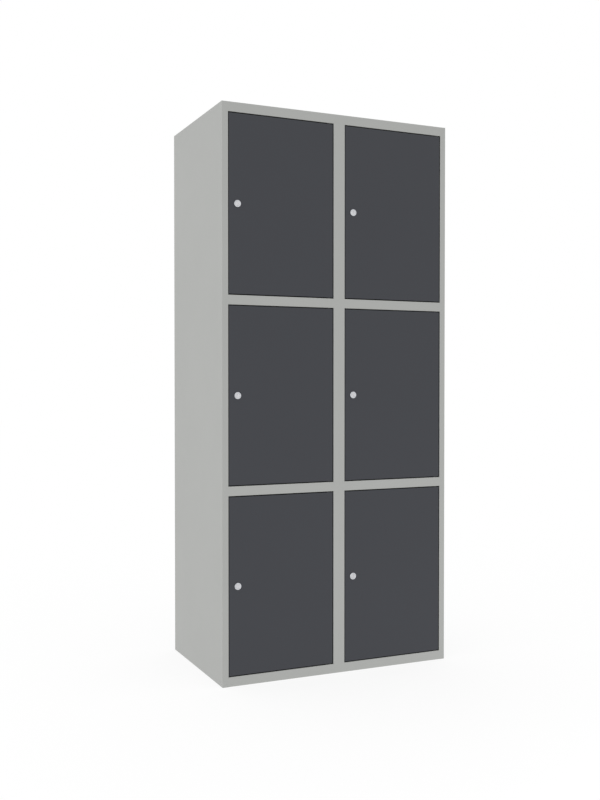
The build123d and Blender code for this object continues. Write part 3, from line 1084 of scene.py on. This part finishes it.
@dataclass(frozen=True)
class GapShadeSheets:
    """Thin black sheets of painted shade on the frame's returns, above and below each door and on its hinge side.

    They are a guess that darkens the gap lines: a dark sheet where the gaps hold only shade. The one above a door
    has a soft bead, which hides the rear vents from somebody who looks in over the door's edge.
    """

    palette: Palette
    thickness: float = 0.3 * MM
    front: float = -243.6 * MM
    back: float = -228.0 * MM
    end_room: float = 0.6 * MM
    pin_room: float = 8.0 * MM
    rounding: float = 0.1 * MM
    bead_front: float = -235.5 * MM
    bead_back: float = -232.0 * MM
    bead_drop: float = 2.1 * MM
    bead_rounding: float = 1.2 * MM

    def _spans(self) -> list[tuple[float, float, float, float]]:
        """Lists the shade sheets of the first opening, each by its left and right ends and its lower and upper ones.
        """
        right, hinge = FIRST.right, FIRST.hinge_place.x
        lengths = [
            (FIRST.side.value + self.end_room, hinge - self.pin_room),
            (hinge + self.pin_room, right - self.end_room),
        ]
        spans = [(right - self.thickness, right, FIRST.bottom + self.end_room, FIRST.top - self.end_room)]
        for start, end in lengths:
            spans.append((start, end, FIRST.bottom, FIRST.bottom + self.thickness))
            spans.append((start, end, FIRST.top - self.thickness, FIRST.top))
        return spans

    def _bead(self, shade_sheet: Workpiece) -> None:
        """Pulls the bead down from a shade sheet above the door.

        Args:
            shade_sheet: The black sheet of painted shade.
        """
        front, back = self.bead_front, self.bead_back
        with shade_sheet.shaping():
            for depth in (front, back):
                shade_sheet.sliced((0, depth, 0), (0, 1, 0))
            shade_sheet.pick(Element.FACE, lambda spot, normal: normal.z < -PARALLEL and front < spot.y < back)
            bpy.ops.mesh.extrude_region_move(TRANSFORM_OT_translate={"value": (0, 0, -self.bead_drop)})
        lowest = FIRST.top - self.thickness - self.bead_drop
        shade_sheet.bevel(
            lambda middle, along: abs(along.x) > PARALLEL and middle.z < lowest + CLOSE, self.bead_rounding, 4
        )

    def fit(self) -> None:
        """Makes the black sheets of painted shade of the first opening and repeats them at the others."""
        made = []
        for left, right, low, high in self._spans():
            # each piece is a black sheet of painted shade on a return of the frame, where the gap is only in shade
            shade_sheet = Workpiece.block("gap_shade_sheet", (left, self.front, low), (right, self.back, high))
            shade_sheet.bevel(lambda middle, along: middle.y < self.front + CLOSE, self.rounding, 2)
            if high == FIRST.top:
                self._bead(shade_sheet)
            made.append(shade_sheet)
        first = Workpiece.joined("gap_shade_sheets", made)
        whole = Workpiece.joined("gap_shade_sheets", first.repeated()).smoothed(40)
        # the black sheets of painted shade in the door gaps take the black rubber finish
        whole.hand_over("cabinet", self.palette, Slot.BUFFER_RUBBER)


@dataclass(frozen=True)
class DoorLeaf:
    """A door: paint on its pan and its rib, and the flanged bushes that turn on the hinge pins.

    Sizes are in millimetres.
    """

    palette: Palette
    sheet: float = 0.8
    bore: float = 3.1
    sleeve: float = 4.5
    sleeve_length: float = 8.0
    flange: float = 6.0
    flange_height: float = 2.7

    def fit(self) -> None:
        """Paints the doors and gives each its pair of bushes."""
        bore, flange, height, end = self.bore, self.flange, self.flange_height, -self.sheet - self.sleeve_length
        profile = [
            (bore, height - 0.3), (bore + 0.3, height), (flange - 0.35, height), (flange - 0.1, height - 0.1),
            (flange, height - 0.35), (flange, 0), (self.sleeve, 0), (self.sleeve, end + 0.6),
            (self.sleeve - 0.4, end), (bore + 0.4, end), (bore, end + 0.4), (bore, height - 0.3),
        ]
        bushes = [
            Workpiece.turned("bush", FIRST.hinge_place, Turning.UPRIGHT, placed(profile, edge / MM, outward), 40)
            for edge, outward in ((FIRST.top - FIRST.door_gap, 1), (FIRST.bottom + FIRST.door_gap, -1))
        ]
        pairs = Workpiece.joined("bushes", bushes).smoothed(40).repeated()
        for place, pair in zip(COMPARTMENTS, pairs):
            paint_node(f"{place.name}_door_panel", self.palette.by_slot[Slot.DOOR_PAINT])
            paint_node(f"{place.name}_door_rib", self.palette.welded_rib)
            pair.named(f"{place.name}_flanged_bushes")
            node = f"{place.name}_hinge_bushes"
            pair.hand_over(f"{place.name}_door", self.palette, Slot.BUSH_PLASTIC, node)


@dataclass(frozen=True)
class CamLock:
    """The cam lock of a door: case, turning core, clamping nut, cam and screw. Sizes are in millimetres."""

    palette: Palette
    front: float = -245.0
    sheet: float = 0.8
    face_radius: float = 11.0
    face_height: float = 3.0
    face_rounding: float = 1.2
    case_radius: float = 9.5
    case_back: float = -224.2
    flats: float = 16.4
    thread_pitch: float = 1.3
    thread_depth: float = 0.55
    thread_turns: int = 14
    bore: float = 6.4
    head_bore: float = 7.3
    head_radius: float = 7.2
    core_radius: float = 6.3
    core_front: float = -247.7
    head_back: float = -245.3
    slot_width: float = 2.0
    slot_height: float = 8.4
    slot_depth: float = 12.0
    slot_mouth: float = 0.4
    slot_rounding: float = 0.35
    slot_flare: Point = (1.7, 1, 1.18)
    shutter_depth: float = 0.9
    shutter_sheet: float = 0.5
    shutter_room: float = 0.05
    rib_inset: float = 0.35
    rib_height: float = 0.15
    nut_flats: float = 22.0
    nut_height: float = 4.0
    cam_front: float = -223.9
    cam_sheet: float = 2.0
    cam_width: float = 16.0
    cam_reach: float = 28.0
    cam_corner: float = 3.5
    cam_edge: float = 0.25
    screw_radius: float = 5.0
    screw_height: float = 2.6
    recess_reach: float = 2.3
    recess_half: float = 0.45
    recess_depth: float = 1.3
    recess_taper: Point = (0.55, 1, 0.55)

    def _spot(self, depth: float) -> Vector:
        """Gives the point on the lock's axis at a depth."""
        return FIRST.lock_place + Vector((0, depth * MM, 0))

    def _turned(self, name: str, profile: Profile, steps: int) -> Workpiece:
        """Turns a profile round the lock's axis."""
        return Workpiece.turned(name, FIRST.lock_place, Turning.DEPTH, profile, steps)

    def _bar(self, name: str, half: tuple[float, float], front: float, back: float) -> Workpiece:
        """Starts a bar along the lock's axis.

        Args:
            name: Name of the bar.
            half: Half its width and half its height.
            front: Depth of its front end.
            back: Depth of its back end.

        Returns:
            The bar.
        """
        corner = Vector((half[0] * MM, 0, half[1] * MM))
        return Workpiece.block(name, self._spot(front) - corner, self._spot(back) + corner)

    def _case(self) -> Workpiece:
        """Turns the case: the round face with its bead, and the threaded body with two flats."""
        face, seat = self.front - self.face_height, self.head_back + 0.1
        head = [
            (self.bore, self.front), (self.bore, seat), (self.head_bore, seat), (self.head_bore, face + 0.25),
            (self.head_bore + 0.25, face), (8.45, face), (8.6, face + 0.22), (8.95, face + 0.22), (9.1, face),
            *rounded_edge(self.face_radius, face, self.face_rounding, 6),
            (self.face_radius, self.front - 0.3), (self.face_radius - 0.3, self.front), (self.bore, self.front),
        ]
        case = self._turned("lock_face", head, 64)
        outer, start, back = self.case_radius, self.front + 1.2, self.case_back
        thread = [(outer, self.front), (outer, start)]
        for turn in range(self.thread_turns):
            thread += [
                (outer - self.thread_depth, start + self.thread_pitch * (turn + 0.45)),
                (outer, start + self.thread_pitch * (turn + 0.9)),
            ]
        thread += [
            (outer, back - 0.7), (outer - 0.6, back), (self.bore + 0.3, back), (self.bore, back - 0.3),
            (self.bore, self.front), (outer, self.front),
        ]
        body = self._turned("lock_body", thread, 48)
        with body.shaping():
            for side in (-1, 1):
                flat = FIRST.lock_place + Vector((side * self.flats / 2 * MM, 0, 0))
                body.sliced(flat, (side, 0, 0), trim=True)
        return Workpiece.joined("lock_case", [case, body]).smoothed(30)

    def _core(self) -> Workpiece:
        """Turns the core and cuts its flared key slot."""
        face, head = self.core_front, self.head_radius
        profile = [
            (0, face), (head - 0.35, face), (head - 0.1, face + 0.1), (head, face + 0.35), (head, self.head_back),
            (self.core_radius, self.head_back), (self.core_radius, self.cam_front), (0, self.cam_front),
        ]
        core = self._turned("lock_core", profile, 64)
        mouth = face - self.slot_mouth
        slot = self._bar("key_slot", (self.slot_width / 2, self.slot_height / 2), mouth, face + self.slot_depth)
        slot.bevel(lambda middle, along: abs(along.y) > PARALLEL, self.slot_rounding * MM, 3)
        with slot.shaping():
            slot.sliced(self._spot(face + self.slot_mouth), (0, 1, 0))
            slot.pick(Element.VERTEX, lambda spot, normal: spot.y < mouth * MM + CLOSE)
            bpy.ops.transform.resize(value=self.slot_flare, center_override=self._spot(mouth))
        core.worked_by(slot, Joining.CUT)
        return core.smoothed(30)

    def _shutter(self) -> Workpiece:
        """Makes the spring shutter that closes the key slot behind its mouth, with a rib down its middle."""
        front = self.core_front + self.shutter_depth
        half = (self.slot_width / 2 - self.shutter_room, self.slot_height / 2 - self.shutter_room)
        shutter = self._bar("key_shutter", half, front, front + self.shutter_sheet)
        shutter.bevel(lambda middle, along: abs(along.y) > PARALLEL, self.slot_rounding * MM, 3)
        with shutter.shaping():
            shutter.pick(Element.FACE, lambda spot, normal: normal.y < -PARALLEL)
            bpy.ops.mesh.inset(thickness=self.rib_inset * MM)
            bpy.ops.transform.translate(value=(0, -self.rib_height * MM, 0))
        return shutter.smoothed(30)

    def _nut(self) -> Workpiece:
        """Makes the hexagon nut, with chamfered corners and a plain chamfered bore."""
        seat = self.front + self.sheet
        back = seat + self.nut_height
        nut = Workpiece.hexagon(
            "lock_nut", self._spot((seat + back) / 2), self.nut_flats * MM, self.nut_height * MM
        )
        bore, flat, corner = self.case_radius + 0.05, self.nut_flats / 2 - 0.35, self.nut_flats / math.sqrt(3) + 0.2
        ring = [
            (bore + 0.45, seat), (flat, seat), (corner, seat + 1.0), (corner, back - 1.0), (flat, back),
            (bore + 0.45, back), (bore, back - 0.5), (bore, seat + 0.5), (bore + 0.45, seat),
        ]
        nut.worked_by(self._turned("nut_form", ring, 48), Joining.COMMON)
        return nut.smoothed(25)

    def _cam(self) -> Workpiece:
        """Makes the flat cam: a bar with one round end and broken edges."""
        half, sheet = self.cam_width / 2 * MM, self.cam_sheet * MM
        place = self._spot(self.cam_front)
        low = place + Vector((-half, 0, -self.cam_reach * MM))
        cam = Workpiece.block("lock_cam", low, place + Vector((half, sheet, half)))
        cam.bevel(lambda middle, along: abs(along.y) > PARALLEL and middle.z > place.z, half * 0.999, 10)
        cam.bevel(
            lambda middle, along: abs(along.y) > PARALLEL and middle.z < low.z + CLOSE, self.cam_corner * MM, 6
        )
        cam.close_up()
        faces = (place.y, place.y + sheet)
        cam.bevel(lambda middle, along: min(abs(middle.y - face) for face in faces) < CLOSE, self.cam_edge * MM, 2)
        return cam.smoothed(35)

    def _screw(self) -> Workpiece:
        """Turns the pan head of the cam's screw, with its washer and cross recess."""
        seat = self.cam_front + self.cam_sheet
        top, floor = seat + self.screw_height, seat + self.screw_height - self.recess_depth
        profile = [
            (0, seat), (self.screw_radius, seat), (self.screw_radius, seat + 0.5), (4.3, seat + 0.55),
            (4.3, seat + 1.5), (4.1, seat + 1.95), (3.6, seat + 2.3), (2.6, top - 0.08), (0, top),
        ]
        screw = self._turned("cam_screw", profile, 48)
        blades = []
        for half in ((self.recess_reach, self.recess_half), (self.recess_half, self.recess_reach)):
            blade = self._bar("recess_blade", half, floor, top + 0.4)
            with blade.shaping():
                blade.pick(Element.FACE, lambda spot, normal: normal.y < -PARALLEL)
                bpy.ops.transform.resize(value=self.recess_taper, center_override=self._spot(floor))
            blades.append(blade)
        blades[0].worked_by(blades[1], Joining.WELD)
        screw.worked_by(blades[0], Joining.CUT)
        return screw.smoothed(30)

    def fit(self) -> None:
        """Makes each piece once and fits it to all six doors."""
        pieces = (
            (self._case(), "door", "lock_housing", Slot.LOCK_CHROME),
            (self._nut(), "door", "lock_nut", Slot.LOCK_ZINC),
            (self._core(), "lock", "lock_plug", Slot.LOCK_CORE),
            (self._shutter(), "lock", None, Slot.LOCK_CORE),
            (self._cam(), "lock", "lock_cam", Slot.LOCK_ZINC),
            (self._screw(), "lock", None, Slot.LOCK_ZINC),
        )
        for first, body, node, slot in pieces:
            kind = first.solid.name
            for place, piece in zip(COMPARTMENTS, first.repeated()):
                stands_for = f"{place.name}_{node}" if node else None
                piece.named(f"{place.name}_fitted_{kind}")
                piece.hand_over(f"{place.name}_{body}", self.palette, slot, stands_for)


@dataclass(frozen=True)
class SoftLamp:
    """A soft rectangular lamp: where it hangs, the point that it faces, its power in watts and its size.

    A lamp that isn't mirrored only brightens what is matt, like light that a pale floor throws back.
    """

    name: str
    place: Point
    aim: Point
    power: float
    size: tuple[float, float]
    mirrored: bool = False

    def hang(self) -> None:
        """Hangs the lamp, out of the camera's sight."""
        data = bpy.data.lights.new(self.name, "AREA")
        data.shape, data.size, data.size_y = "RECTANGLE", *self.size
        data.energy = self.power
        lamp = bpy.data.objects.new(self.name, data)
        lamp.location = self.place
        lamp.rotation_euler = (Vector(self.aim) - lamp.location).to_track_quat("-Z", "Y").to_euler()
        lamp.visible_camera = False
        lamp.visible_glossy = self.mirrored
        bpy.context.scene.collection.objects.link(lamp)


@dataclass(frozen=True)
class Studio:
    """Plain pale floor, soft light and the photograph's camera. Angles are in degrees, and the lens in millimetres."""

    camera_place: Point = (-1.447625, -3.132572, 0.940559)
    camera_turn: float = -24.384
    camera_tilt: float = -1.006
    lens: float = 45.0056
    sensor: float = 36.0
    sight: tuple[float, float] = (0.05, 200.0)
    floor_size: float = 40.0
    floor_drop: float = 0.2 * MM
    lamps: tuple[SoftLamp, ...] = (
        SoftLamp("soft_key", (-4.2, -1.1, 1.1), (-0.2, 0.0, 0.95), 19.0, (2.0, 2.0), mirrored=True),
        SoftLamp("front_fill", (0.7, -1.5, 0.12), (0.1, -0.245, 0.15), 2.3, (1.8, 0.16)),
    )

    def camera(self) -> None:
        """Sets up the camera at the photograph's place."""
        data = bpy.data.cameras.new("photo_camera")
        data.lens = self.lens
        data.sensor_width = self.sensor
        data.clip_start, data.clip_end = self.sight
        camera = bpy.data.objects.new("photo_camera", data)
        camera.location = self.camera_place
        camera.rotation_euler = (math.radians(90 + self.camera_tilt), 0, math.radians(self.camera_turn))
        bpy.context.scene.collection.objects.link(camera)
        bpy.context.scene.camera = camera

    def floor(self) -> None:
        """Lays the floor."""
        clear_selection()
        bpy.ops.mesh.primitive_plane_add(size=self.floor_size, location=(0, 0, -self.floor_drop))
        bpy.ops.object.transform_apply(location=True, rotation=True, scale=True)
        floor = bpy.context.active_object
        floor.name = "studio_floor"
        floor.data.materials.append(StudioFloor().material())

    def light(self) -> None:
        """Hangs the soft key lamp at the left and the low fill, and lights the room evenly with white."""
        for lamp in self.lamps:
            lamp.hang()
        world = bpy.data.worlds.new("studio_room")
        bpy.context.scene.world = world
        tree = ShaderTree(world)
        room = tree.node("ShaderNodeBackground", inputs={"Color": WHITE, "Strength": 1.0})
        tree.node("ShaderNodeOutputWorld", inputs={"Surface": room})

    def look(self) -> None:
        """Sets the plain view transform."""
        bpy.context.scene.view_settings.view_transform = "Standard"


def main() -> None:
    """Dresses the locker piece by piece and puts it in its studio."""
    logging.basicConfig(level=logging.INFO, format="%(message)s")
    studio = Studio()
    studio.camera()
    palette = Palette()
    for assembly in (Cabinet, HingePins, DoorBuffers, GapShadeSheets, DoorLeaf, CamLock):
        assembly(palette).fit()
    studio.floor()
    studio.light()
    studio.look()


if __name__ == "__main__":
    main()
